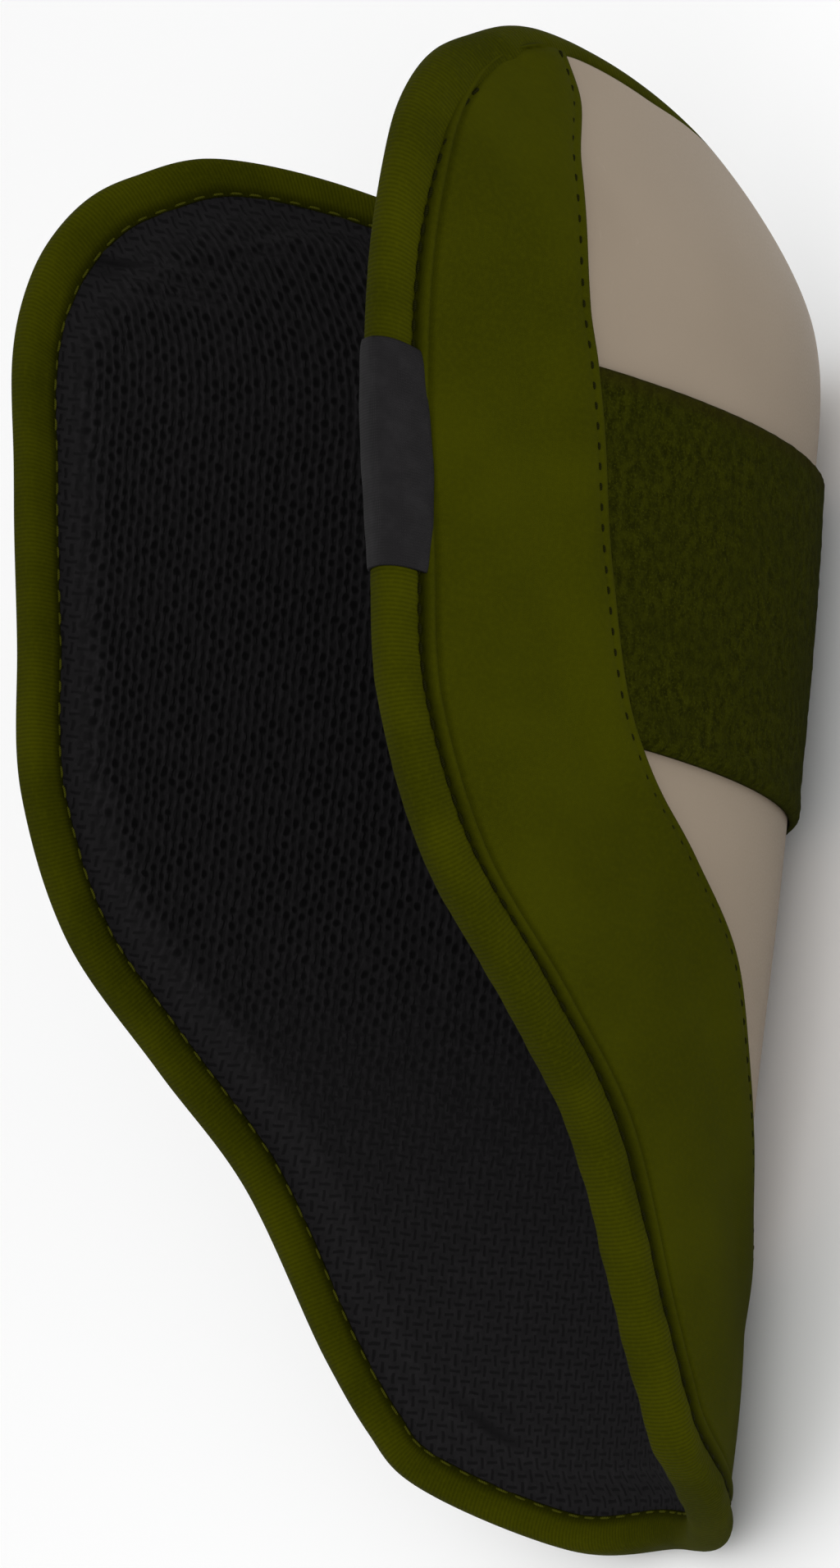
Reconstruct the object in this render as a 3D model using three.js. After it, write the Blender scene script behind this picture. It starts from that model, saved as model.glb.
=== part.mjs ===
// Baseball elbow guard: a padded sheet bent to a U that the arm lies in, with a hard cap on its back.
// Millimetres and degrees. The guard is worked out upright: x across the flaps, y from the open side
// to the back, z up its length. A point of the sheet is a turn round the section (0 on the back line,
// about 90 at a flap's edge), a height up the length, and a lift off the outer face of the foam.
import * as THREE from "three";
import * as BufferGeometryUtils from "three/addons/utils/BufferGeometryUtils.js";

// Whole guard
const guardLength = 235;
const guardWidth = 123;
const guardDepth = 100.5;

// Walls and seams
const foamMiddle = 6.5;
const foamEdge = 2.6;
const shellWall = 2.0;
const coverWall = 1.4;
const bandWall = 1.6;
const tapeWall = 0.8;
const labelWall = 0.5;
const clearance = 0.3;

// Laps and widths
const shellTuck = 8;
const shellTuckLeast = 1.5;
const bandTuck = 6;
const coverRamp = 3;
const coverLift = 3;
const tapeLeg = 5;
const labelLeg = 7;
const foamMargin = 6.5;
const foamRise = 6;

// Loop band and label, by their place up the length
const bandWidth = 60;
const bandMiddle = 150;
const labelLength = 36;
const labelMiddle = 158;

// Share of the depth that a radian of turn measures along the section, on average
const meanStretch = 0.8;

// Shares that shape the fold round the edge
const foldShoulder = 0.3;
const foldRound = 0.7;

// Cells of the sheets
const labelRows = 5;
const bandRows = 4;
const bandColumns = 25;
const coverCells = 4;

// How the guard lies on its back
const restRoll = 0;
const restPitch = 2.04;

// Sections up the length: shares of half the width, of the depth, and of the depth for the back's lean
const sections = [
  { at: 0, width: 0.924, depth: 0.85, lean: -0.015 },
  { at: 0.25, width: 0.958, depth: 0.941, lean: -0.012 },
  { at: 0.5, width: 0.985, depth: 0.975, lean: 0.017 },
  { at: 0.75, width: 0.978, depth: 1.067, lean: 0.036 },
  { at: 0.87, width: 1.012, depth: 1.145, lean: 0.019 },
  { at: 1, width: 0.942, depth: 1.161, lean: -0.15 },
];

// Rim from its middle towards the tip of a flap: turn, share of the length, cells to the next row
const rim = [
  { turn: 0, up: 0.866, cells: 4 },
  { turn: 22, up: 0.875, cells: 4 },
  { turn: 44, up: 0.974, cells: 4 },
];

// Edge of a flap from its tip to the middle of the lower end, and the edge of the cover's window
// beside it: turns, shares of the length, and cells to the next row
const flap = [
  { edgeTurn: 64, edgeUp: 0.998, windowTurn: 69, windowUp: 0.996, cells: 1 },
  { edgeTurn: 73.6, edgeUp: 0.975, windowTurn: 65.7, windowUp: 0.98, cells: 1 },
  { edgeTurn: 79.1, edgeUp: 0.952, windowTurn: 65.3, windowUp: 0.955, cells: 2 },
  { edgeTurn: 86, edgeUp: 0.902, windowTurn: 70.7, windowUp: 0.9, cells: 2 },
  { edgeTurn: 91.1, edgeUp: 0.832, windowTurn: 72.5, windowUp: 0.834, cells: 2 },
  { edgeTurn: 94.1, edgeUp: 0.723, windowTurn: 71.6, windowUp: 0.723, cells: 2 },
  { edgeTurn: 94.6, edgeUp: 0.617, windowTurn: 70.8, windowUp: 0.621, cells: 2 },
  { edgeTurn: 94, edgeUp: 0.511, windowTurn: 66.7, windowUp: 0.515, cells: 2 },
  { edgeTurn: 88.3, edgeUp: 0.413, windowTurn: 55.8, windowUp: 0.447, cells: 3 },
  { edgeTurn: 76.6, edgeUp: 0.323, windowTurn: 44.6, windowUp: 0.389, cells: 2 },
  { edgeTurn: 66.5, edgeUp: 0.247, windowTurn: 37.7, windowUp: 0.328, cells: 2 },
  { edgeTurn: 56.5, edgeUp: 0.122, windowTurn: 30.8, windowUp: 0.268, cells: 2 },
  { edgeTurn: 51.3, edgeUp: 0.072, windowTurn: 26.6, windowUp: 0.222, cells: 1 },
  { edgeTurn: 46.8, edgeUp: 0.043, windowTurn: 22.5, windowUp: 0.206, cells: 6 },
  { edgeTurn: 21.9, edgeUp: -0.002, windowTurn: 11.5, windowUp: 0.188, cells: 6 },
  { edgeTurn: 0, edgeUp: 0, windowTurn: 0, windowUp: 0.183, cells: 0 },
];
const cornerRow = 13;

// Colours and finish
const looks = {
  lining_pad: { color: 0x171517, roughness: 0.95 },
  outer_cover: { color: 0x34360a, roughness: 0.8 },
  shell: { color: 0x857a69, roughness: 0.5 },
  loop_band: { color: 0x26280a, roughness: 1.0 },
  edge_binding: { color: 0x30320c, roughness: 0.9 },
  side_label: { color: 0x252327, roughness: 0.85 },
};

const radians = THREE.MathUtils.degToRad;

// Value of a column of a table at a share of the length, on a smooth curve through its rows
function columnOf(rows, column) {
  const at = rows.map((row) => row.at);
  const values = rows.map((row) => row[column]);
  const curve = new THREE.CubicInterpolant(at, values, 1, new Float64Array(1));
  return (share) => curve.evaluate(share)[0];
}
const widthAt = columnOf(sections, "width");
const depthAt = columnOf(sections, "depth");
const leanAt = columnOf(sections, "lean");

// Half width, depth and back line of the section at a height up the length
function sectionAt(up) {
  const share = up / guardLength;
  return {
    half: (guardWidth / 2) * widthAt(share),
    depth: guardDepth * depthAt(share),
    back: guardDepth * leanAt(share),
  };
}

// Point of the sheet, lifted off the foam's outer face along the section's outward normal
function skin(turn, up, lift) {
  const { half, depth, back } = sectionAt(up);
  const sin = Math.sin(turn);
  const cos = Math.cos(turn);
  const normal = new THREE.Vector3(depth * sin, half * cos, 0).normalize();
  return new THREE.Vector3(half * sin, back - depth * (1 - cos), up).addScaledVector(normal, lift);
}

// Millimetres along the section for each radian of turn
function stretchAt(turn, up) {
  const { half, depth } = sectionAt(up);
  return Math.hypot(half * Math.cos(turn), depth * Math.sin(turn));
}

// Spots are places on the sheet: a turn in radians and a height up the length
const spot = (turn, up) => ({ turn, up });
const mirrored = (place) => spot(-place.turn, place.up);
const between = (a, b, share) => spot(a.turn + (b.turn - a.turn) * share, a.up + (b.up - a.up) * share);

// Shares from 0 to 1 in even steps
const evenShares = (steps) => Array.from({ length: steps + 1 }, (_, step) => step / steps);

// Place on a run of spots between two of them, and the place where a falling run passes a height
const spotOn = (run, station) => {
  const index = Math.min(Math.floor(station), run.length - 2);
  return between(run[index], run[index + 1], station - index);
};
function stationAt(run, up) {
  const index = run.findIndex((place) => place.up <= up);
  return index - (up - run[index].up) / (run[index - 1].up - run[index].up);
}

// Distance between two spots along the sheet
function span(a, b) {
  const middle = between(a, b, 0.5);
  return Math.hypot((a.turn - b.turn) * stretchAt(middle.turn, middle.up), a.up - b.up);
}

// Spots down the near half of a smooth curve that its mirror image carries on, closed or open
function halfCurve(knots, closed) {
  const flat = guardDepth * meanStretch;
  const far = knots.slice(closed ? 1 : 0, -1).reverse().map((knot) => ({ ...knot, turn: -knot.turn }));
  const points = [...knots, ...far].map((knot) => new THREE.Vector3(knot.turn * flat, knot.up, 0));
  const curve = new THREE.CatmullRomCurve3(points, closed, "centripetal");
  const stretches = closed ? points.length : points.length - 1;
  const steps = knots.slice(0, -1).flatMap((knot, index) =>
    Array.from({ length: knot.cells }, (_, step) => index + step / knot.cells));
  return [...steps, knots.length - 1].map((at) => {
    const point = curve.getPoint(at / stretches);
    return spot(point.x / flat, point.y);
  });
}

// A half curve and its mirror image as one run, from the far side to the near side
const acrossTheBack = (half) => [...half.slice(1).reverse().map(mirrored), ...half];

const knotsOf = (rows, turn, up) =>
  rows.map((row) => ({ turn: radians(row[turn]), up: guardLength * row[up], cells: row.cells }));

// Outline and window as runs of spots
const outlineKnots = [...knotsOf(rim, "turn", "up"), ...knotsOf(flap, "edgeTurn", "edgeUp")];
const nearOutline = halfCurve(outlineKnots, true);
const nearWindow = halfCurve(knotsOf(flap, "windowTurn", "windowUp"), false);
const nearRim = nearOutline.slice(0, -(nearWindow.length - 1));
const nearEdge = nearOutline.slice(-nearWindow.length);
const sideCells = flap.slice(0, cornerRow).reduce((sum, row) => sum + row.cells, 0);
const firstCoverSpot = flap[0].cells + flap[1].cells;

// Whole outline as a closed loop: rim from far to near, near flap, lower end, far flap
function outlineLoop() {
  const down = nearEdge.slice(1);
  const back = nearEdge.slice(1, -1).reverse().map(mirrored);
  return [...acrossTheBack(nearRim), ...down, ...back];
}

// Direction into the sheet at each spot of a closed loop, as a turn and a height for each millimetre
function inwardAlong(loop) {
  return loop.map((place, index) => {
    const before = loop[(index + loop.length - 1) % loop.length];
    const after = loop[(index + 1) % loop.length];
    const stretch = stretchAt(place.turn, place.up);
    const along = new THREE.Vector2((after.turn - before.turn) * stretch, after.up - before.up);
    along.normalize();
    return { turn: along.y / stretch, up: -along.x };
  });
}

// Loop moved into the sheet by a distance
function insetLoop(loop, inward, distance) {
  return loop.map((place, index) =>
    spot(place.turn + inward[index].turn * distance, place.up + inward[index].up * distance));
}

// Grid of spots inside four runs that meet at their ends, a Coons patch
function fourSided(top, right, bottom, left) {
  const rows = right.length - 1;
  const columns = top.length - 1;
  return right.map((_, row) => top.map((__, column) => {
    const v = row / rows;
    const u = column / columns;
    const blend = (key) => {
      const upright = top[column][key] * (1 - v) + bottom[column][key] * v;
      const across = left[row][key] * (1 - u) + right[row][key] * u;
      const upper = top[0][key] * (1 - u) + top[columns][key] * u;
      const lower = bottom[0][key] * (1 - u) + bottom[columns][key] * u;
      return upright + across - upper * (1 - v) - lower * v;
    };
    return spot(blend("turn"), blend("up"));
  }));
}

// Four-cornered cells of a grid of points, closed round its rows or not
function gridCells(rows, columns, closed) {
  const cells = [];
  const lastRow = closed ? rows : rows - 1;
  for (let row = 0; row < lastRow; row++) {
    for (let column = 0; column < columns - 1; column++) {
      const here = row * columns + column;
      const next = ((row + 1) % rows) * columns + column;
      cells.push([here, here + 1, next + 1, next]);
    }
  }
  return cells;
}

// Two triangles of a cell, split along the diagonal that stands further out
function splitCell([a, b, c, d], outer, inner) {
  const outward = outer[a].clone().sub(inner[a]);
  const bulge = outer[a].clone().add(outer[c]).sub(outer[b]).sub(outer[d]).dot(outward);
  return bulge > 0 ? [[a, b, c], [a, c, d]] : [[a, b, d], [b, c, d]];
}

// Closed body of a sheet from its outer and inner points and its cells
function thickSheet(outer, inner, cells) {
  const count = outer.length;
  const triangles = [];
  const edges = new Set();
  for (const cell of cells) {
    for (const [p, q, r] of splitCell(cell, outer, inner)) {
      triangles.push(p, q, r, r + count, q + count, p + count);
      edges.add(`${p} ${q}`).add(`${q} ${r}`).add(`${r} ${p}`);
    }
  }
  for (const edge of edges) {
    const [a, b] = edge.split(" ").map(Number);
    if (!edges.has(`${b} ${a}`)) {
      triangles.push(b, a, a + count, b, a + count, b + count);
    }
  }
  const positions = [...outer, ...inner].flatMap((point) => point.toArray());
  const geometry = new THREE.BufferGeometry();
  geometry.setAttribute("position", new THREE.Float32BufferAttribute(positions, 3));
  geometry.setIndex(triangles);
  return facingOut(geometry);
}

// The same body with its faces pointing out
function facingOut(geometry) {
  const position = geometry.getAttribute("position");
  const index = geometry.getIndex();
  const corner = (number) => new THREE.Vector3().fromBufferAttribute(position, index.getX(number));
  let volume = 0;
  for (let first = 0; first < index.count; first += 3) {
    volume += corner(first).dot(corner(first + 1).cross(corner(first + 2)));
  }
  if (volume < 0) {
    for (let first = 0; first < index.count; first += 3) {
      const second = index.getX(first + 1);
      index.setX(first + 1, index.getX(first + 2));
      index.setX(first + 2, second);
    }
  }
  return BufferGeometryUtils.mergeVertices(geometry);
}

// Body of a grid of spots, with the lift of its outer and inner face at each place
function gridSheet(grid, outerLift, innerLift) {
  const places = grid.flatMap((row, r) => row.map((place, c) => ({ place, r, c })));
  const face = (lift) => places.map(({ place, r, c }) => skin(place.turn, place.up, lift(place, r, c)));
  return thickSheet(face(outerLift), face(innerLift), gridCells(grid.length, grid[0].length, false));
}

// Lifts of the layers over the foam
const shellLow = clearance;
const shellHigh = shellLow + shellWall;
const bandLow = shellHigh + clearance;
const bandHigh = bandLow + bandWall;
const overShell = shellHigh + clearance;
const overBand = bandHigh + clearance;
const bandTop = bandMiddle + bandWidth / 2;
const bandBottom = bandMiddle - bandWidth / 2;

// Foam and lining: an even margin under the binding, then the full thickness
function liningPad() {
  const loop = outlineLoop();
  const inward = inwardAlong(loop);
  const rings = [0, foamMargin, foamMargin + foamRise].map((inset) => insetLoop(loop, inward, inset));
  const inner = rings[2];
  const rimCells = 2 * (nearRim.length - 1);
  const top = inner.slice(0, rimCells + 1);
  const right = inner.slice(rimCells, rimCells + sideCells + 1);
  const low = rimCells + sideCells;
  const bottom = inner.slice(low, low + rimCells + 1).reverse();
  const left = [...inner.slice(low + rimCells), inner[0]].reverse();
  const middle = fourSided(top, right, bottom, left);
  const count = loop.length;
  const spots = rings.flat();
  const number = middle.map((row, r) => row.map((place, c) => {
    if (r === 0) return 2 * count + c;
    if (c === rimCells) return 2 * count + rimCells + r;
    if (r === sideCells) return 2 * count + low + rimCells - c;
    if (c === 0) return 2 * count + ((count - r) % count);
    spots.push(place);
    return spots.length - 1;
  }));
  const cells = [];
  for (let ring = 0; ring < 2; ring++) {
    for (let step = 0; step < count; step++) {
      const next = (step + 1) % count;
      const here = ring * count;
      cells.push([here + step, here + next, here + count + next, here + count + step]);
    }
  }
  for (let r = 0; r < sideCells; r++) {
    for (let c = 0; c < rimCells; c++) {
      cells.push([number[r][c], number[r][c + 1], number[r + 1][c + 1], number[r + 1][c]]);
    }
  }
  const outer = spots.map((place) => skin(place.turn, place.up, 0));
  const thickness = (index) => (index < 2 * count ? foamEdge : foamMiddle);
  const lining = spots.map((place, index) => skin(place.turn, place.up, -thickness(index)));
  return thickSheet(outer, lining, cells);
}

// How far the shell runs under the cover where the cover has a given width
function tuckAt(width) {
  const room = width - tapeLeg - coverRamp - 3 * clearance;
  return Math.min(shellTuck, Math.max(room, shellTuckLeast));
}

// Spot past the window's edge, under the cover, at a distance from it
function pastWindow(index, distance) {
  const width = span(nearWindow[index], nearEdge[index]);
  return between(nearWindow[index], nearEdge[index], distance / width);
}

// Hard cap: the rim above, the tucked edge of the window on its sides and round its tail
function shellPlate() {
  const half = nearWindow.map((_, index) => {
    const width = span(nearWindow[index], nearEdge[index]);
    return pastWindow(index, tuckAt(width));
  });
  half[0] = nearRim[nearRim.length - 1];
  const top = acrossTheBack(nearRim);
  const right = half.slice(0, sideCells + 1);
  const bottom = acrossTheBack(half.slice(sideCells).reverse());
  const grid = fourSided(top, right, bottom, right.map(mirrored));
  return gridSheet(grid, () => shellHigh, () => shellLow);
}

// Loop band across the shell, its ends past the window's edges
function bandStrip() {
  const rows = evenShares(bandRows).map((share) => {
    const up = bandBottom + bandWidth * share;
    const edge = spotOn(nearWindow, stationAt(nearWindow, up));
    const reach = edge.turn + bandTuck / stretchAt(edge.turn, up);
    return evenShares(bandColumns).map((across) => spot(reach * (2 * across - 1), up));
  });
  return gridSheet(rows, () => bandHigh, () => bandLow);
}

// Places down the near flap where the cover starts, the band's edges cross it, and it ends
function coverStations() {
  const stations = [];
  for (let index = firstCoverSpot; index < nearWindow.length; index++) {
    stations.push(index);
  }
  const crossings = [bandTop + coverLift, bandTop + clearance, bandBottom - clearance, bandBottom - coverLift]
    .map((up) => stationAt(nearWindow, up));
  const clear = stations.filter((index) => crossings.every((at) => Math.abs(at - index) > 0.2));
  return [...clear, ...crossings].sort((a, b) => a - b);
}

// Cover: from the window's edge, over the shell and the band's ends, down to the foam and the edge
function coverSheet() {
  const near = coverStations().map((station) => {
    const window = spotOn(nearWindow, station);
    const edge = spotOn(nearEdge, station);
    const width = span(window, edge);
    const tuck = tuckAt(width);
    const overEnd = Math.min(bandTuck, tuck - clearance) + 2 * clearance;
    const ramp = tuck + 2 * clearance;
    const past = [0, overEnd, ramp, ramp + coverRamp];
    for (let cell = 1; cell <= coverCells; cell++) {
      past.push(ramp + coverRamp + (width - ramp - coverRamp) * (cell / coverCells));
    }
    const banded = Math.abs(window.up - bandMiddle) < bandWidth / 2 + coverLift / 2;
    const top = banded ? overBand : overShell;
    return {
      places: past.map((distance) => between(window, edge, distance / width)),
      lifts: past.map((_, column) => [top, top, overShell][column] ?? clearance),
    };
  });
  const far = near.slice(0, -1).map(({ places, lifts }) => ({ places: places.map(mirrored), lifts }));
  const rows = [...near, ...far.reverse()];
  const under = (place, row, column) => rows[row].lifts[column];
  const over = (place, row, column) => rows[row].lifts[column] + coverWall;
  return gridSheet(rows.map((row) => row.places), over, under);
}

// Fold round the edge: a leg on the outer face, a rounded bend past the edge, a leg on the lining.
// Each pair is a distance into the sheet and a lift; grow moves the fold off what it goes round.
function foldSection(leg, grow, wall) {
  const over = overShell + grow;
  const under = -foamEdge - clearance - grow;
  const past = -clearance - grow;
  const bend = (reach, high, low) => [
    [leg, high],
    [past * foldShoulder, high],
    [reach, high + reach * foldRound],
    [reach, low - reach * foldRound],
    [past * foldShoulder, low],
    [leg, low],
  ];
  return { inner: bend(past, over, under), outer: bend(past - wall, over + wall, under - wall) };
}

// Sheet folded round a run of the outline
function foldedSheet(loop, inward, section, closed) {
  const face = (profile) => loop.flatMap((place, index) => profile.map(([inset, lift]) => {
    const turn = place.turn + inward[index].turn * inset;
    return skin(turn, place.up + inward[index].up * inset, lift);
  }));
  const cells = gridCells(loop.length, section.outer.length, closed);
  return thickSheet(face(section.outer), face(section.inner), cells);
}

function edgeBinding() {
  const loop = outlineLoop();
  return foldedSheet(loop, inwardAlong(loop), foldSection(tapeLeg, 0, tapeWall), true);
}

// Woven tag over the binding of the near flap
function sideLabel() {
  const inward = inwardAlong(outlineLoop()).slice(2 * (nearRim.length - 1) - 1);
  const rows = evenShares(labelRows).map((share) => {
    const station = stationAt(nearEdge, labelMiddle + labelLength * (0.5 - share));
    return { place: spotOn(nearEdge, station), inward: spotOn(inward.slice(1), station) };
  });
  const section = foldSection(labelLeg, tapeWall + clearance, labelWall);
  return foldedSheet(rows.map((row) => row.place), rows.map((row) => row.inward), section, false);
}

// Guard as a group of named meshes
function elbowGuard() {
  const shapes = {
    lining_pad: liningPad(),
    outer_cover: coverSheet(),
    shell: shellPlate(),
    loop_band: bandStrip(),
    edge_binding: edgeBinding(),
    side_label: sideLabel(),
  };
  const guard = new THREE.Group();
  for (const [name, geometry] of Object.entries(shapes)) {
    const mesh = new THREE.Mesh(geometry, new THREE.MeshStandardMaterial({ metalness: 0, ...looks[name] }));
    mesh.name = name;
    guard.add(mesh);
  }
  return guard;
}

// Group turned from upright to lying on its back, length along y, middle over the origin
function lyingDown(guard) {
  const rest = new THREE.Group();
  const tilt = new THREE.Matrix4().makeRotationX(radians(restPitch - 90));
  const roll = new THREE.Matrix4().makeRotationZ(radians(-restRoll));
  guard.applyMatrix4(tilt.multiply(roll));
  rest.add(guard);
  rest.updateMatrixWorld(true);
  const box = new THREE.Box3().setFromObject(rest, true);
  const middle = box.getCenter(new THREE.Vector3());
  rest.position.set(-middle.x, -middle.y, -box.min.z);
  return rest;
}

export default lyingDown(elbowGuard());
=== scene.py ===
# Baseball elbow guard, dressed: knitted lining over foam, stretch cover, moulded cap, brushed loop
# band, ribbed binding, stitches and a bare woven tag. Lengths are millimetres in the upright guard:
# a turn round the section, a height up the length and a lift off the foam's outer face.
import math

import bpy
import numpy as np
from mathutils import Matrix, Vector


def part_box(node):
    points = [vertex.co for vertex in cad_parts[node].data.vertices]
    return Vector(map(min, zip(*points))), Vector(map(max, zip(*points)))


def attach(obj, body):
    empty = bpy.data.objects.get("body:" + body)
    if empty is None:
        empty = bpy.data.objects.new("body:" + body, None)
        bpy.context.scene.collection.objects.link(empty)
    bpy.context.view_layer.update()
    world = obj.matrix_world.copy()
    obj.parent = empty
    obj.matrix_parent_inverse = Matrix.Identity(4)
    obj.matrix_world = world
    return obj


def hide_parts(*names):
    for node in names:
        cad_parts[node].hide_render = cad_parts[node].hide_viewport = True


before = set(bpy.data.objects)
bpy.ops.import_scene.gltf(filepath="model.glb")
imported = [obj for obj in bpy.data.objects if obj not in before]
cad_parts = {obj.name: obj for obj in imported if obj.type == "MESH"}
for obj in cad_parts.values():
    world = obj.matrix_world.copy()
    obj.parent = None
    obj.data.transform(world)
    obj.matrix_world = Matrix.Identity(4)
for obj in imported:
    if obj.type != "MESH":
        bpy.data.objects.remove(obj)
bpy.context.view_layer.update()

# Whole guard
LENGTH = 235.0
WIDTH = 123.0
DEPTH = 100.5
REST_PITCH = 2.04

# Walls, laps and lifts
FOAM_MIDDLE = 6.5
FOAM_EDGE = 2.6
SHELL_LOW = 0.3
SHELL_HIGH = 2.3
BAND_LOW = 2.6
BAND_HIGH = 4.2
TAPE_LEG = 5.0
FOAM_MARGIN = 6.5
FOAM_RISE = 6.0
BAND_TOP = 180.0
BAND_BOTTOM = 120.0
BAND_TUCK = 6.0
LABEL_LENGTH = 36.0
LABEL_MIDDLE = 158.0
MEAN_STRETCH = 0.8

# Sections up the length: share of the length, half width, depth, and lean of the back
SECTIONS = np.array([
    (0, 0.924, 0.85, -0.015),
    (0.25, 0.958, 0.941, -0.012),
    (0.5, 0.985, 0.975, 0.017),
    (0.75, 0.978, 1.067, 0.036),
    (0.87, 1.012, 1.145, 0.019),
    (1, 0.942, 1.161, -0.15),
])

# Rim from its middle: turn in degrees and share of the length
RIM = [(0, 0.866), (22, 0.875), (44, 0.974)]

# Edge of a flap and the cover's window edge beside it: edge turn, edge up, window turn, window up
FLAP = [
    (64, 0.998, 63.6, 0.993),
    (73.6, 0.975, 63.9, 0.98),
    (79.1, 0.952, 64.9, 0.955),
    (86, 0.902, 69.4, 0.903),
    (91.1, 0.832, 72.0, 0.834),
    (94.1, 0.723, 71.6, 0.723),
    (94.6, 0.617, 70.8, 0.621),
    (94, 0.511, 66.7, 0.515),
    (88.3, 0.413, 55.8, 0.447),
    (76.6, 0.323, 44.6, 0.389),
    (66.5, 0.247, 37.7, 0.328),
    (56.5, 0.122, 30.8, 0.268),
    (51.3, 0.072, 26.6, 0.222),
    (46.8, 0.043, 22.5, 0.206),
    (21.9, -0.002, 11.5, 0.188),
    (0, 0, 0, 0.183),
]
CORNER = 13.0


# Value of each column of the section table at a share of the length, on a smooth curve
def section_values(share):
    at = SECTIONS[:, 0]
    share = np.clip(share, 0.0, 1.0)
    cell = np.clip(np.searchsorted(at, share, side="right") - 1, 0, len(at) - 2)
    start, end = at[cell], at[cell + 1]
    before = np.where(cell == 0, cell + 1, cell - 1)
    after = np.where(cell == len(at) - 2, cell, np.minimum(cell + 2, len(at) - 1))
    start_gap = start - np.where(cell == 0, end, at[before])
    end_gap = np.where(cell == len(at) - 2, start, at[after]) - end
    half = (end - start) * 0.5
    w0, w1 = half / start_gap, half / end_gap
    p = (share - start) / (end - start)
    s_before = -w0 * p**3 + 2 * w0 * p**2 - w0 * p
    s_start = (1 + w0) * p**3 + (-1.5 - 2 * w0) * p**2 + (-0.5 + w0) * p + 1
    s_end = (-1 - w1) * p**3 + (1.5 + w1) * p**2 + 0.5 * p
    s_after = w1 * p**3 - w1 * p**2
    rows = SECTIONS[:, 1:]
    return (s_before[..., None] * rows[before] + s_start[..., None] * rows[cell]
            + s_end[..., None] * rows[cell + 1] + s_after[..., None] * rows[after])


def section_at(up):
    width, depth, lean = np.moveaxis(section_values(np.asarray(up, float) / LENGTH), -1, 0)
    return WIDTH / 2 * width, DEPTH * depth, DEPTH * lean


# Points of the sheet, lifted along the section's outward normal
def skin(turn, up, lift):
    turn, up, lift = np.broadcast_arrays(*(np.asarray(a, float) for a in (turn, up, lift)))
    half, depth, back = section_at(up)
    sin, cos = np.sin(turn), np.cos(turn)
    length = np.hypot(depth * sin, half * cos)
    x = half * sin + lift * depth * sin / length
    y = back - depth * (1 - cos) + lift * half * cos / length
    return np.stack([x, y, up], -1)


def stretch_at(turn, up):
    half, depth, _ = section_at(up)
    return np.hypot(half * np.cos(turn), depth * np.sin(turn))


ARC_TURNS = np.linspace(0, 1.8, 91)
ARC_UPS = np.linspace(-4, LENGTH + 4, 61)


def arc_table():
    turns, ups = np.meshgrid(ARC_TURNS, ARC_UPS)
    rate = stretch_at(turns, ups)
    step = ARC_TURNS[1]
    return np.concatenate([np.zeros((len(ARC_UPS), 1)),
                           np.cumsum((rate[:, 1:] + rate[:, :-1]) / 2 * step, axis=1)], axis=1)


ARC = arc_table()


# Millimetres along the section from the back line
def arc_at(turn, up):
    a = np.clip(np.abs(turn) / ARC_TURNS[1], 0, len(ARC_TURNS) - 1.001)
    b = np.clip((np.asarray(up, float) - ARC_UPS[0]) / (ARC_UPS[1] - ARC_UPS[0]), 0, len(ARC_UPS) - 1.001)
    i, j = a.astype(int), b.astype(int)
    p, q = a - i, b - j
    low = ARC[j, i] * (1 - p) + ARC[j, i + 1] * p
    high = ARC[j + 1, i] * (1 - p) + ARC[j + 1, i + 1] * p
    return np.sign(turn) * (low * (1 - q) + high * q)


# Cloth coordinates in millimetres: across the section, up the length, and a third value
def cloth_coords(turn, up, third=0.0):
    turn, up, third = np.broadcast_arrays(*(np.asarray(a, float) for a in (turn, up, third)))
    return np.stack([arc_at(turn, up), up, third], -1)


def smooth(value):
    value = np.clip(value, 0, 1)
    return value * value * (3 - 2 * value)


# Centripetal Catmull-Rom curve through points, at stations counted in points
def curve_at(points, stations, closed):
    points = np.asarray(points, float)
    count = len(points)
    stations = np.asarray(stations, float)
    if closed:
        stations = stations % count
        cell = np.floor(stations).astype(int) % count
    else:
        cell = np.clip(np.floor(stations).astype(int), 0, count - 2)
    p = (stations - cell)[:, None]
    if closed:
        a, b, c, d = (points[(cell + shift) % count] for shift in (-1, 0, 1, 2))
    else:
        ends = np.vstack([2 * points[0] - points[1], points, 2 * points[-1] - points[-2]])
        a, b, c, d = (ends[cell + shift] for shift in (0, 1, 2, 3))
    gap = [np.sqrt(np.linalg.norm(q - r, axis=1))[:, None] for q, r in ((a, b), (b, c), (c, d))]
    t1 = ((b - a) / gap[0] - (c - a) / (gap[0] + gap[1]) + (c - b) / gap[1]) * gap[1]
    t2 = ((c - b) / gap[1] - (d - b) / (gap[1] + gap[2]) + (d - c) / gap[2]) * gap[1]
    return b + t1 * p + (-3 * b + 3 * c - 2 * t1 - t2) * p**2 + (2 * b - 2 * c + t1 + t2) * p**3


FLAT = DEPTH * MEAN_STRETCH


def knots_of(rows, turn, up):
    return np.array([(math.radians(row[turn]) * FLAT, row[up] * LENGTH) for row in rows])


def with_mirror(knots, closed):
    far = knots[(1 if closed else 0):-1][::-1] * (-1, 1)
    return np.vstack([knots, far])


OUTLINE_KNOTS = with_mirror(np.vstack([knots_of(RIM, 0, 1), knots_of(FLAP, 0, 1)]), True)
WINDOW_KNOTS = with_mirror(knots_of(FLAP, 2, 3), False)
RIM_KNOTS = len(RIM)
FLAP_KNOTS = len(FLAP)
OUTLINE_COUNT = len(OUTLINE_KNOTS)


# Turn and up of the outline, the flap's edge and the window's edge, at stations
def outline_at(stations):
    found = curve_at(OUTLINE_KNOTS, stations, True)
    return found[:, 0] / FLAT, found[:, 1]


def edge_at(stations):
    return outline_at(np.asarray(stations, float) + RIM_KNOTS)


def window_at(stations):
    found = curve_at(WINDOW_KNOTS, stations, False)
    return found[:, 0] / FLAT, found[:, 1]


def span(turn_a, up_a, turn_b, up_b):
    return np.hypot(arc_at(turn_a, up_a) - arc_at(turn_b, up_b), up_a - up_b)


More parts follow.
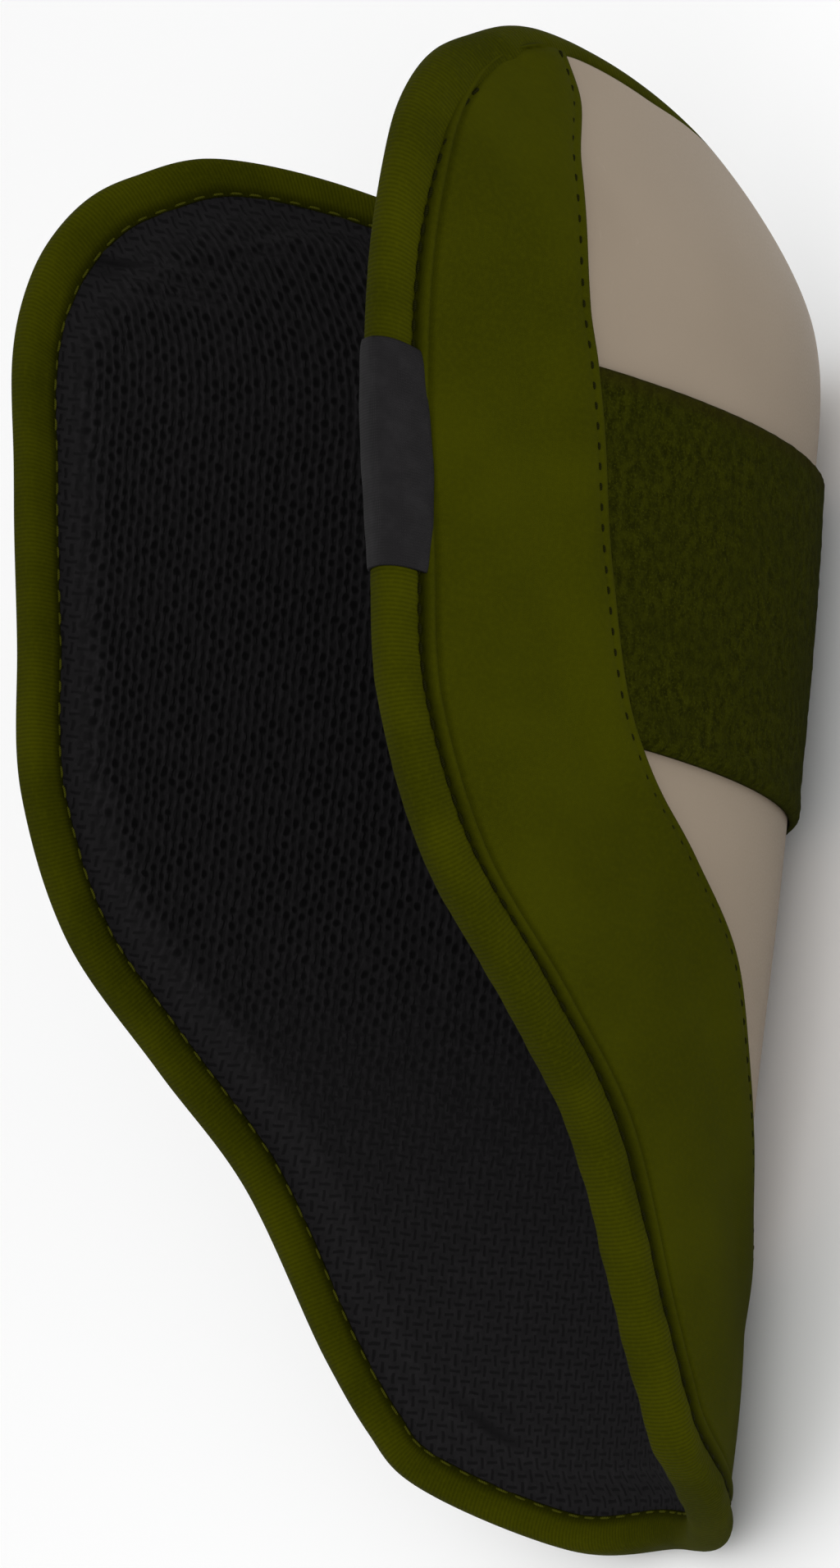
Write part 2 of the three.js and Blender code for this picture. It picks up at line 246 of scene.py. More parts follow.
# Stations of a run at even millimetres, with the length at each
def even_stations(run, first, last, spacing, closed=False):
    fine = np.linspace(first, last, 6000)
    turn, up = run(fine)
    place = skin(turn, up, 0)
    length = np.concatenate([[0], np.cumsum(np.linalg.norm(np.diff(place, axis=0), axis=1))])
    count = max(int(round(length[-1] / spacing)), 1)
    wanted = np.linspace(0, length[-1], count + 1)
    if closed:
        wanted = wanted[:-1]
    return np.interp(wanted, length, fine), wanted


# Direction into the sheet beside a run, as turn and up for each millimetre
def inward_beside(run, stations, step=0.02):
    turn, up = run(stations)
    turn_a, up_a = run(stations - step)
    turn_b, up_b = run(stations + step)
    stretch = stretch_at(turn, up)
    along = np.stack([(turn_b - turn_a) * stretch, up_b - up_a], -1)
    along /= np.linalg.norm(along, axis=1)[:, None]
    return along[:, 1] / stretch, -along[:, 0]


# Distance of each place from the outline, along the sheet
def from_outline(turn, up):
    stations, _ = even_stations(outline_at, 0, OUTLINE_COUNT, 1.5, True)
    line = cloth_coords(*outline_at(stations))[:, :2]
    following = np.roll(line, -1, axis=0) - line
    places = cloth_coords(turn, up)[..., :2].reshape(-1, 2)
    nearest = np.empty(len(places))
    for first in range(0, len(places), 4000):
        here = places[first:first + 4000]
        gap = here[:, None, :] - line[None]
        share = np.clip((gap * following).sum(-1) / (following**2).sum(-1), 0, 1)
        gap -= share[..., None] * following
        nearest[first:first + 4000] = np.sqrt((gap**2).sum(-1).min(1))
    return nearest.reshape(np.shape(turn))


# Row frame: the upright guard laid on its back, in metres
def resting():
    return np.array(Matrix.Rotation(math.radians(REST_PITCH - 90), 3, "X"))


REST = resting()


BAND_CORNER_ROWS = 5
BAND_CORNER_COLUMNS = 26


def band_corner():
    rows = np.linspace(BAND_BOTTOM, BAND_TOP, BAND_CORNER_ROWS)
    fine = np.linspace(0, FLAP_KNOTS - 1, 4000)
    turn, up = window_at(fine)
    reach = np.interp(rows, up[::-1], turn[::-1])
    reach = reach + BAND_TUCK / stretch_at(reach, rows)
    turns = reach[:, None] * np.linspace(-1, 1, BAND_CORNER_COLUMNS)[None]
    both = [skin(turns, rows[:, None], lift).reshape(-1, 3) for lift in (BAND_LOW, BAND_HIGH)]
    return (np.vstack(both) @ REST.T).min(0) / 1000


OFFSET = np.array(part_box("loop_band")[0]) - band_corner()


def placed(points):
    return np.asarray(points).reshape(-1, 3) @ REST.T / 1000 + OFFSET


# Gentle unevenness that repeats the same way each time
WAVES = 7


def waves(x, y, seed, size):
    rng = np.random.default_rng(seed)
    total = np.zeros(np.broadcast(x, y).shape)
    for _ in range(WAVES):
        angle, phase = rng.uniform(0, 2 * math.pi, 2)
        scale = size * rng.uniform(0.6, 1.6)
        total += np.sin((x * math.cos(angle) + y * math.sin(angle)) * 2 * math.pi / scale + phase)
    return total / WAVES


# Mesh builders
def quads(rows, columns, closed_rows=False, closed_columns=False):
    last_row = rows if closed_rows else rows - 1
    last_column = columns if closed_columns else columns - 1
    r, c = np.meshgrid(np.arange(last_row), np.arange(last_column), indexing="ij")
    r2, c2 = (r + 1) % rows, (c + 1) % columns
    corners = [r * columns + c, r * columns + c2, r2 * columns + c2, r2 * columns + c]
    return np.stack(corners, -1).reshape(-1, 4)


def facing(points, faces):
    a, b, c, d = (points[faces[:, k]] for k in range(4))
    volume = (a * np.cross(b, c)).sum() + (a * np.cross(c, d)).sum()
    return faces if volume > 0 else faces[:, ::-1]


def add_piece(name, points, faces, coords, material, node=None, flip=None):
    points = placed(points)
    faces = np.asarray(faces)
    if flip is None:
        faces = facing(points - points.mean(0), faces)
    elif flip:
        faces = faces[:, ::-1]
    mesh = bpy.data.meshes.new(name)
    mesh.vertices.add(len(points))
    mesh.vertices.foreach_set("co", points.ravel())
    mesh.loops.add(faces.size)
    mesh.loops.foreach_set("vertex_index", np.ascontiguousarray(faces).ravel().astype(np.int32))
    mesh.polygons.add(len(faces))
    mesh.polygons.foreach_set("loop_start", np.arange(0, faces.size, 4, dtype=np.int32))
    mesh.polygons.foreach_set("use_smooth", np.ones(len(faces), bool))
    mesh.update(calc_edges=True)
    mesh.validate()
    cloth = mesh.attributes.new("cloth", "FLOAT_VECTOR", "POINT")
    cloth.data.foreach_set("vector", np.asarray(coords, float).reshape(-1, 3).ravel())
    mesh.materials.append(material)
    piece = bpy.data.objects.new(name, mesh)
    bpy.context.scene.collection.objects.link(piece)
    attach(piece, "root")
    if node:
        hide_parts(node)
    return piece


# Grid of places inside four runs that meet at their ends
def four_sided(top, right, bottom, left):
    rows, columns = len(right), len(top)
    v = np.linspace(0, 1, rows)[:, None, None]
    u = np.linspace(0, 1, columns)[None, :, None]
    upright = top[None] * (1 - v) + bottom[None] * v
    across = left[:, None] * (1 - u) + right[:, None] * u
    corners = ((top[0] * (1 - u) + top[-1] * u) * (1 - v) + (bottom[0] * (1 - u) + bottom[-1] * u) * v)
    return upright + across - corners


def stacked(turn, up):
    return np.stack([turn, up], -1)


def mirrored(run):
    return run * (-1, 1)


# Shader graph with short calls
class Graph:
    def __init__(self, name):
        self.material = bpy.data.materials.new(name)
        self.material.use_nodes = True
        self.tree = self.material.node_tree
        self.shader = self.tree.nodes["Principled BSDF"]

    def node(self, kind, inputs=None, **settings):
        made = self.tree.nodes.new(kind)
        for key, value in settings.items():
            setattr(made, key, value)
        for key, value in (inputs or {}).items():
            self.put(made.inputs[key], value)
        return made

    def put(self, socket, value):
        if isinstance(value, bpy.types.NodeSocket):
            self.tree.links.new(value, socket)
        else:
            socket.default_value = value

    def math(self, operation, a, b=0.0, c=0.0, clamp=False):
        made = self.node("ShaderNodeMath", {0: a, 1: b, 2: c}, operation=operation, use_clamp=clamp)
        return made.outputs[0]

    def cloth(self):
        return self.node("ShaderNodeAttribute", attribute_name="cloth").outputs["Vector"]

    def noise(self, vector, scale, detail=2.0, rough=0.5, stretch=None):
        if stretch:
            scaled = self.node("ShaderNodeVectorMath", {0: vector, 1: stretch}, operation="MULTIPLY")
            vector = scaled.outputs[0]
        made = self.node("ShaderNodeTexNoise", {"Vector": vector, "Scale": scale, "Detail": detail,
                                                "Roughness": rough})
        return made.outputs[0]

    def ramp(self, value, low, high, out_low=0.0, out_high=1.0):
        return self.node("ShaderNodeMapRange", {0: value, 1: low, 2: high, 3: out_low, 4: out_high},
                         interpolation_type="SMOOTHSTEP").outputs[0]

    def mix(self, factor, a, b):
        made = self.node("ShaderNodeMix", data_type="RGBA")
        for key, value in (("Factor_Float", factor), ("A_Color", a), ("B_Color", b)):
            self.put(next(s for s in made.inputs if s.identifier == key), value)
        return next(s for s in made.outputs if s.identifier == "Result_Color")

    def bump(self, height, distance, strength=1.0):
        inputs = {"Height": height, "Distance": distance, "Strength": strength}
        return self.node("ShaderNodeBump", inputs).outputs[0]

    def threads(self, vector, scale_x, scale_y, distortion):
        waves = []
        for scale, direction in ((scale_x, "X"), (scale_y, "Y")):
            inputs = {"Vector": vector, "Scale": scale, "Distortion": distortion, "Detail": 1.0}
            waves.append(self.node("ShaderNodeTexWave", inputs, bands_direction=direction).outputs[1])
        return self.math("MULTIPLY", *waves)

    def finish(self, color, rough, normal=None, **constants):
        self.put(self.shader.inputs["Base Color"], color)
        self.put(self.shader.inputs["Roughness"], rough)
        if normal is not None:
            self.put(self.shader.inputs["Normal"], normal)
        for key, value in constants.items():
            self.shader.inputs[key.replace("_", " ")].default_value = value
        return self.material


def rgb(r, g, b):
    return (r, g, b, 1.0)


# Colours
LINING_PLAIN = rgb(0.005, 0.0047, 0.005)
LINING_FLAT = rgb(0.0086, 0.0081, 0.0086)
LINING_PIT_SHADE = rgb(0.0009, 0.0008, 0.0009)
LINING_LIT = rgb(0.0135, 0.0125, 0.0135)
FOAM_DARK = rgb(0.009, 0.0085, 0.009)
FOAM_PALE = rgb(0.02, 0.019, 0.02)
COVER_DARK = rgb(0.0245, 0.0262, 0.0006)
COVER_OLIVE = rgb(0.032, 0.034, 0.0007)
COVER_FIBRE = rgb(0.041, 0.043, 0.001)
COVER_SEAM_SHADE = rgb(0.006, 0.0065, 0.0002)
CAP_DARK = rgb(0.219, 0.174, 0.127)
CAP_PALE = rgb(0.246, 0.197, 0.145)
CAP_SCUFF = rgb(0.325, 0.275, 0.22)
PILE_DEEP = rgb(0.0082, 0.009, 0.0004)
PILE_OLIVE = rgb(0.021, 0.023, 0.0008)
PILE_SPECK = rgb(0.038, 0.041, 0.003)
PILE_CLOUD = rgb(0.013, 0.0145, 0.0008)
SELVEDGE_BROWN = rgb(0.0155, 0.0125, 0.002)
TAPE_DARK = rgb(0.0235, 0.0255, 0.0005)
TAPE_OLIVE = rgb(0.036, 0.038, 0.0007)
TAPE_FURROW_SHADE = rgb(0.012, 0.0135, 0.0004)
TAPE_FIBRE = rgb(0.05, 0.052, 0.001)
TAPE_EDGE_SHADE = rgb(0.007, 0.0075, 0.0002)
TAG_DARK = rgb(0.006, 0.0055, 0.006)
TAG_WOVEN = rgb(0.0125, 0.0115, 0.0125)
TAG_PALE = rgb(0.016, 0.015, 0.016)
THREAD_OLIVE = (rgb(0.022, 0.0235, 0.0008), rgb(0.055, 0.057, 0.0035))
THREAD_DARK = (rgb(0.004, 0.0043, 0.0003), rgb(0.011, 0.0115, 0.0006))
FLOOR_WHITE = rgb(0.96, 0.96, 0.96)
OLIVE_GLOSS = rgb(0.75, 0.75, 0.05)


# Knitted spacer mesh: staggered soft openings joined by lengthwise slits, no two alike
MESH_ACROSS = 1.62
MESH_ALONG = 2.8
BASKET = 1.9


# Cloth coordinates pushed about a little
def wavering(g, cloth, scale, across, along):
    noise = g.node("ShaderNodeTexNoise", {"Vector": cloth, "Scale": scale, "Detail": 2.0}).outputs[1]
    shift = g.node("ShaderNodeVectorMath", {0: noise, 1: (0.5, 0.5, 0.5)}, operation="SUBTRACT").outputs[0]
    moved = g.node("ShaderNodeVectorMath", {0: shift, 1: (across, along, 0.0), 2: cloth},
                   operation="MULTIPLY_ADD").outputs[0]
    return g.node("ShaderNodeSeparateXYZ", {0: moved}).outputs


# Distance of a repeating value from the middle of its step
def off_middle(g, value):
    return g.math("ABSOLUTE", g.math("SUBTRACT", g.math("FRACT", value), 0.5))


def mesh_openings(g, cloth):
    axes = wavering(g, cloth, 0.3, 1.3, 1.8)
    across = g.math("DIVIDE", axes[0], MESH_ACROSS)
    column = g.math("FLOOR", across)
    odd = g.math("MODULO", g.math("ABSOLUTE", column), 2.0)
    along = g.math("ADD", g.math("DIVIDE", axes[1], MESH_ALONG), g.math("MULTIPLY", odd, 0.5))
    cell = g.node("ShaderNodeCombineXYZ", {0: column, 1: g.math("FLOOR", along), 2: 0.0}).outputs[0]
    chance = g.node("ShaderNodeTexWhiteNoise", {"Vector": cell}, noise_dimensions="3D").outputs[0]
    side = off_middle(g, across)
    wide = g.math("POWER", g.math("DIVIDE", side, g.ramp(chance, 0.0, 1.0, 0.29, 0.4)), 2.0)
    tall = g.math("POWER", g.math("DIVIDE", off_middle(g, along), 0.29), 2.0)
    hole = g.ramp(g.math("ADD", wide, tall), 0.0, 1.7, 1.0, 0.0)
    hole = g.math("MULTIPLY", hole, g.ramp(chance, 0.0, 0.7, 0.5, 1.0))
    broken = g.ramp(g.noise(cloth, 0.45, 2.0, 0.5, (1.0, 0.6, 1.0)), 0.42, 0.64, 0.08, 0.8)
    slit = g.math("MULTIPLY", g.ramp(side, 0.04, 0.13, 1.0, 0.0), broken)
    thread = g.ramp(side, 0.34, 0.44)
    return g.math("MAXIMUM", hole, slit), thread


# Gaps between short threads that cross by turns
def basket_gaps(g, cloth):
    axes = wavering(g, cloth, 0.25, 1.2, 1.2)
    steps = [g.math("DIVIDE", axis, BASKET) for axis in axes[:2]]
    corner = g.math("ADD", g.math("FLOOR", steps[0]), g.math("FLOOR", steps[1]))
    turned = g.math("MODULO", g.math("ABSOLUTE", corner), 2.0)
    lines = [g.ramp(off_middle(g, step), 0.05, 0.2, 1.0, 0.0) for step in steps]
    upright = g.math("MULTIPLY", lines[0], turned)
    level = g.math("MULTIPLY", lines[1], g.math("SUBTRACT", 1.0, turned))
    return g.math("ADD", upright, level)


def lining_material():
    g = Graph("lining_mesh")
    cloth = g.cloth()
    third = g.node("ShaderNodeSeparateXYZ", {0: cloth}).outputs[2]
    open_share = g.math("MAXIMUM", third, 0.0)
    closed_share = g.math("SUBTRACT", 1.0, open_share)
    # Painted shade in the creased dents, carried as a negative third cloth value
    dent_shade = g.math("MAXIMUM", g.math("MULTIPLY", third, -1.0), 0.0, clamp=True)
    opening, thread = mesh_openings(g, cloth)
    opening = g.math("MULTIPLY", opening, g.ramp(open_share, 0.0, 0.9, 0.12, 1.0))
    gap = g.math("MULTIPLY", basket_gaps(g, cloth), g.math("MULTIPLY", closed_share, 0.58))
    # Painted shade: the mesh openings, slits, basket gaps and dents are coloured down towards near black
    shaded_pits = g.math("MAXIMUM", g.math("MAXIMUM", opening, gap), dent_shade)
    knots = g.ramp(g.noise(cloth, 0.9, 2.0, 0.5, (1.0, 0.6, 1.0)), 0.42, 0.68)
    plain = g.mix(open_share, LINING_FLAT, LINING_PLAIN)
    raised = g.math("MULTIPLY", g.math("MULTIPLY", thread, open_share), 0.36)
    lit = g.math("ADD", g.math("MULTIPLY", knots, 0.35), raised)
    lit = g.math("MULTIPLY", lit, g.math("SUBTRACT", 1.0, shaded_pits))
    color = g.mix(shaded_pits, g.mix(lit, plain, LINING_LIT), LINING_PIT_SHADE)
    height = g.math("SUBTRACT", g.math("MULTIPLY", knots, 0.2), g.math("MULTIPLY", shaded_pits, 0.8))
    return g.finish(color, 0.85, g.bump(height, 0.0003, 0.8), Specular_IOR_Level=0.06)


def foam_material():
    g = Graph("foam_back")
    cloth = g.cloth()
    cells = g.noise(cloth, 1.4, 3.0, 0.65)
    color = g.mix(cells, FOAM_DARK, FOAM_PALE)
    return g.finish(color, 0.95, g.bump(cells, 0.0002), Specular_IOR_Level=0.1)


# Smooth stretch cloth with a fine knit
def cover_material():
    g = Graph("cover_cloth")
    cloth = g.cloth()
    broad = g.noise(cloth, 0.035, 3.0, 0.55)
    fine = g.noise(cloth, 1.1, 3.0, 0.6)
    knit = g.threads(cloth, 0.9, 0.9, 0.5)
    tone = g.mix(g.ramp(broad, 0.3, 0.72), COVER_DARK, COVER_OLIVE)
    color = g.mix(g.math("MULTIPLY", g.ramp(fine, 0.35, 0.75), 0.35), tone, COVER_FIBRE)
    # Painted shade in the stitched groove and the crease along the seam, from the third cloth value
    seam_shade_share = g.node("ShaderNodeSeparateXYZ", {0: cloth}).outputs[2]
    color = g.mix(seam_shade_share, color, COVER_SEAM_SHADE)
    height = g.math("ADD", g.math("MULTIPLY", knit, 0.5), g.math("MULTIPLY", fine, 0.5))
    rough = g.ramp(fine, 0.2, 0.8, 0.82, 0.92)
    return g.finish(color, rough, g.bump(height, 0.00008, 0.8), Specular_Tint=OLIVE_GLOSS,
                    Specular_IOR_Level=0.03)


# Satin moulded plastic
def shell_material():
    g = Graph("cap_plastic")
    cloth = g.cloth()
    broad = g.noise(cloth, 0.02, 2.0, 0.5)
    grain = g.noise(cloth, 2.4, 3.0, 0.6)
    scuff = g.ramp(g.noise(cloth, 0.5, 4.0, 0.7, (1.0, 0.25, 1.0)), 0.62, 0.75)
    tone = g.mix(g.ramp(broad, 0.3, 0.7), CAP_DARK, CAP_PALE)
    color = g.mix(g.math("MULTIPLY", scuff, 0.12), tone, CAP_SCUFF)
    rough = g.ramp(grain, 0.25, 0.75, 0.42, 0.54)
    height = g.math("ADD", g.math("MULTIPLY", grain, 0.6), g.math("MULTIPLY", scuff, 0.25))
    return g.finish(color, rough, g.bump(height, 0.00005, 0.6), Specular_IOR_Level=0.2)


# Brushed loop with a mottled pile
def band_material():
    g = Graph("brushed_loop")
    cloth = g.cloth()
    axes = g.node("ShaderNodeSeparateXYZ", {0: cloth})
    tufts = g.noise(cloth, 0.62, 4.0, 0.75, (1.0, 0.7, 1.0))
    specks = g.noise(cloth, 2.2, 2.0, 0.7)
    patches = g.noise(cloth, 0.09, 3.0, 0.6)
    base = g.mix(g.ramp(tufts, 0.36, 0.64), PILE_DEEP, PILE_OLIVE)
    lighter = g.mix(g.math("MULTIPLY", g.ramp(specks, 0.52, 0.72), 0.7), base, PILE_SPECK)
    cloudy = g.mix(g.ramp(patches, 0.35, 0.7, 0.0, 0.45), lighter, PILE_CLOUD)
    selvedge = g.ramp(axes.outputs[1], BAND_TOP - 4.0, BAND_TOP - 0.5, 0.0, 0.6)
    color = g.mix(selvedge, cloudy, SELVEDGE_BROWN)
    height = g.math("ADD", g.math("MULTIPLY", tufts, 0.7), g.math("MULTIPLY", specks, 0.5))
    return g.finish(color, 0.95, g.bump(height, 0.0005, 1.0), Specular_Tint=OLIVE_GLOSS,
                    Specular_IOR_Level=0.03)


# Binding tape with fine ribs across its width
RIB = 0.72


def binding_material():
    g = Graph("binding_tape")
    cloth = g.cloth()
    axes = g.node("ShaderNodeSeparateXYZ", {0: cloth})
    phase = g.math("MULTIPLY", axes.outputs[0], 2 * math.pi / RIB)
    rib = g.math("MULTIPLY_ADD", g.math("SINE", phase), 0.5, 0.5)
    fine = g.noise(cloth, 1.3, 3.0, 0.6)
    broad = g.noise(cloth, 0.05, 2.0, 0.5)
    tone = g.mix(g.ramp(broad, 0.3, 0.7), TAPE_DARK, TAPE_OLIVE)
    # The furrows between the ribs are coloured down to a painted shade
    ridged = g.mix(g.ramp(rib, 0.0, 0.65, 0.35, 0.0), tone, TAPE_FURROW_SHADE)
    color = g.mix(g.math("MULTIPLY", g.ramp(fine, 0.45, 0.75), 0.3), ridged, TAPE_FIBRE)
    height = g.math("ADD", g.math("MULTIPLY", rib, 0.7), g.math("MULTIPLY", fine, 0.4))
    around = axes.outputs[1]
    # Painted shade along both edges of the tape, where it meets the cover and the lining
    edge_shade = g.math("ADD", g.ramp(around, 0.0, 1.4, 0.55, 0.0),
                     g.ramp(around, TAPE_ROUND - 2.5, TAPE_ROUND - 0.5, 0.0, 0.72))
    color = g.mix(edge_shade, color, TAPE_EDGE_SHADE)
    return g.finish(color, 0.88, g.bump(height, 0.00018, 0.9), Specular_Tint=OLIVE_GLOSS,
                    Specular_IOR_Level=0.03)


def thread_material(name, colors):
    g = Graph(name)
    cloth = g.cloth()
    axes = g.node("ShaderNodeSeparateXYZ", {0: cloth})
    turn = g.math("ADD", g.math("MULTIPLY", axes.outputs[0], 9.0), g.math("MULTIPLY", axes.outputs[1], 2.0))
    twist = g.math("MULTIPLY_ADD", g.math("SINE", turn), 0.5, 0.5)
    color = g.mix(twist, *colors)
    return g.finish(color, 0.8, g.bump(twist, 0.00008, 0.8), Specular_IOR_Level=0.03)


# Woven tag: fine satin weave
def label_material():
    g = Graph("label_weave")
    cloth = g.cloth()
    weave = g.threads(cloth, 1.15, 0.7, 0.3)
    uneven = g.noise(cloth, 0.22, 3.0, 0.6)
    tone = g.mix(weave, TAG_DARK, TAG_WOVEN)
    color = g.mix(g.ramp(uneven, 0.35, 0.75, 0.0, 0.5), tone, TAG_PALE)
    return g.finish(color, 0.62, g.bump(weave, 0.00012, 0.8), Specular_IOR_Level=0.09)


# Lining: one stretched cloth over the foam, its edge inside the binding
LINING_ROWS = 300
LINING_COLUMNS = 300
LINING_WALL = 0.35
MESH_MARGIN = 6.5
MESH_RISE = 6.0
MESH_LOW = 42.0
MESH_FADE = 88.0
FOLD_SHADE = 2.2


def sheet_grid(rows, columns):
    rim_far, _ = even_stations(outline_at, -RIM_KNOTS, RIM_KNOTS, 1.0)
    rim = np.interp(np.linspace(0, 1, columns), np.linspace(0, 1, len(rim_far)), rim_far)
    side, _ = even_stations(outline_at, RIM_KNOTS, RIM_KNOTS + CORNER, 1.0)
    side = np.interp(np.linspace(0, 1, rows), np.linspace(0, 1, len(side)), side)
    low, _ = even_stations(outline_at, RIM_KNOTS + CORNER, OUTLINE_COUNT - RIM_KNOTS - CORNER, 1.0)
    low = np.interp(np.linspace(0, 1, columns), np.linspace(0, 1, len(low)), low)
    top = stacked(*outline_at(rim))
    right = stacked(*outline_at(side))
    bottom = stacked(*outline_at(low))[::-1]
    grid = four_sided(top, right, bottom, mirrored(right))
    return grid[..., 0], grid[..., 1]


def foam_thickness(edge):
    return FOAM_EDGE + (FOAM_MIDDLE - FOAM_EDGE) * smooth((edge - FOAM_MARGIN) / FOAM_RISE)


# Small dents where the lining creases over the foam: across, up, direction, length, width, depth
DENTS = [
    (-114.0, 214.8, 0.02, 13, 0.8, 0.52),
    (-113.2, 212.2, -0.03, 12, 0.8, 0.48),
    (-112.6, 209.4, 0.04, 11, 0.8, 0.44),
    (-89.2, 222.3, 0.23, 10, 0.8, 0.5),
    (-93.5, 218.9, 0.26, 8, 0.8, 0.4),
    (-40.2, 20.2, -0.6, 8, 1.3, 0.22),
    (-35.2, 21.6, -0.55, 7, 1.2, 0.18),
    (-33.4, 16.4, -0.35, 7, 1.2, 0.18),
]


def dented(across, up):
    total = np.zeros(np.shape(across))
    for x, y, angle, length, width, depth in DENTS:
        along = (across - x) * math.cos(angle) + (up - y) * math.sin(angle)
        aside = -(across - x) * math.sin(angle) + (up - y) * math.cos(angle)
        total += depth * np.exp(-(along / length)**2 - (aside / width)**2)
    return total


def lining(material):
    turn, up = sheet_grid(LINING_ROWS, LINING_COLUMNS)
    coords = cloth_coords(turn, up)
    across = coords[..., 0]
    edge = from_outline(turn, up)
    opened = smooth((edge - MESH_MARGIN) / MESH_RISE) * (0.1 + 0.9 * smooth((up - MESH_LOW) / MESH_FADE))
    uneven = 0.25 * waves(across, up, 3, 30) * smooth((edge - 6) / 8)
    dents = dented(across, up)
    lift = -(foam_thickness(edge) + LINING_WALL + uneven - dents)
    coords[..., 2] = opened - FOLD_SHADE * dents
    points = skin(turn, up, lift)
    faces = quads(*turn.shape)
    row, column = LINING_ROWS // 2, LINING_COLUMNS // 2
    here, beside, below = points[row, column], points[row, column + 1], points[row + 1, column]
    inward = skin(0.0, LENGTH / 2, -1.0) - skin(0.0, LENGTH / 2, 0.0)
    wrong = np.cross(beside - here, below - here) @ inward < 0
    return add_piece("lining", points, faces, coords, material, "lining_pad", flip=wrong)


# Foam behind the lining: closed, a little inside it everywhere
FOAM_ROWS = 70
FOAM_COLUMNS = 90
FOAM_CLEAR = 0.05
FOAM_BEHIND = 0.55


def foam(material):
    turn, up = sheet_grid(FOAM_ROWS, FOAM_COLUMNS)
    outer = skin(turn, up, -FOAM_CLEAR)
    inner = skin(turn, up, FOAM_BEHIND - foam_thickness(from_outline(turn, up)))
    return closed_grid("foam_core", outer, inner, turn, up, material)


def border_of(rows, columns):
    top = np.arange(columns)
    right = np.arange(1, rows) * columns + columns - 1
    bottom = (rows - 1) * columns + np.arange(columns - 2, -1, -1)
    left = np.arange(rows - 2, 0, -1) * columns
    return np.concatenate([top, right, bottom, left])


def closed_grid(name, outer, inner, turn, up, material, node=None):
    rows, columns = turn.shape
    count = rows * columns
    face = quads(rows, columns)
    ring = border_of(rows, columns)
    following = np.roll(ring, -1)
    wall = np.stack([following, ring, ring + count, following + count], -1)
    faces = np.vstack([face, face[:, ::-1] + count, wall])
    points = np.vstack([outer.reshape(-1, 3), inner.reshape(-1, 3)])
    coords = np.vstack([cloth_coords(turn, up).reshape(-1, 3)] * 2)
    return add_piece(name, points, faces, coords, material, node)


# How far the shell runs under the cover where the cover has a given width
TUCK_MOST = 8.0
TUCK_LEAST = 1.5
TUCK_CLEAR = 3.9


def tuck_at(width):
    return np.minimum(TUCK_MOST, np.maximum(width - TAPE_LEG - TUCK_CLEAR, TUCK_LEAST))


def tucked_at(stations):
    window, edge = window_at(stations), edge_at(stations)
    width = span(*window, *edge)
    share = tuck_at(width) / width
    return stacked(window[0] + (edge[0] - window[0]) * share, window[1] + (edge[1] - window[1]) * share)


# Even steps with finer ones at both ends
def end_weighted(count, weight=0.7):
    even = np.linspace(0, 1, count)
    return even - weight * np.sin(2 * math.pi * even) / (2 * math.pi)


def resampled(run, shares):
    gaps = np.linalg.norm(np.diff(run * (FLAT, 1), axis=0), axis=1)
    length = np.concatenate([[0], np.cumsum(gaps)])
    wanted = shares * length[-1]
    return np.stack([np.interp(wanted, length, run[:, k]) for k in range(2)], -1)


# The cap's edge along the rim: under the binding near the tips of the flaps
RIM_INSET = 2.3


def inset_rim(stations):
    turn, up = outline_at(stations)
    in_turn, in_up = inward_beside(outline_at, stations)
    inset = RIM_INSET * smooth((np.degrees(np.abs(turn)) - 42) / 10)
    return stacked(turn + in_turn * inset, up + in_up * inset)


# Hard cap with rounded edges
CAP_ROWS = 170
CAP_COLUMNS = 150
CAP_DROP = 0.495
CAP_ROUND = 1.6


def near_ends(count):
    steps = np.linspace(0, 1, count) * count
    return np.exp(-steps / CAP_ROUND) + np.exp(-(count - steps) / CAP_ROUND)


def shell(material):
    rim = inset_rim(np.linspace(-RIM_KNOTS, RIM_KNOTS, 400))
    stations = np.linspace(0, FLAP_KNOTS - 1, 900)
    half = tucked_at(stations)
    first = tucked_at(np.array([1.0]))[0]
    tip = rim[-1]
    part = np.minimum(stations, 1.0)[:, None]
    half = np.where(stations[:, None] < 1, tip + (first - tip) * part, half)
    corner = int(np.searchsorted(stations, CORNER))
    right = resampled(half[:corner + 1], end_weighted(CAP_ROWS))
    low = np.vstack([mirrored(half[corner:])[:-1], half[corner:][::-1]])
    top = resampled(rim, end_weighted(CAP_COLUMNS))
    bottom = resampled(low, end_weighted(CAP_COLUMNS))
    grid = four_sided(top, right, bottom, mirrored(right))
    turn, up = grid[..., 0], grid[..., 1]
    high = SHELL_HIGH - CAP_DROP * (near_ends(CAP_ROWS)[:, None] + near_ends(CAP_COLUMNS)[None])
    outer = skin(turn, up, high)
    inner = skin(turn, up, SHELL_LOW)
    return closed_grid("hard_cap", outer, inner, turn, up, material, "shell")


# 1 at the heights of the band, 0 past it
BAND_STEP = 9.0
BAND_SLOPE = 10.0


def over_band(up):
    below = smooth((up - BAND_BOTTOM + BAND_STEP) / BAND_SLOPE)
    return below * smooth((BAND_TOP + BAND_STEP - up) / BAND_SLOPE)


# Closed tube of a section that is swept along stations, with its two ends closed or not
def swept(name, points, coords, material, node, closed=False):
    rows, columns = points.shape[:2]
    faces = quads(rows, columns, closed, True)
    if not closed:
        half = columns // 2
        steps = np.arange(half - 1)
        cap = np.stack([steps, steps + 1, columns - 2 - steps, columns - 1 - steps], -1)
        faces = np.vstack([faces, cap[:, ::-1], cap + (rows - 1) * columns])
    return add_piece(name, points, faces, coords, material, node)


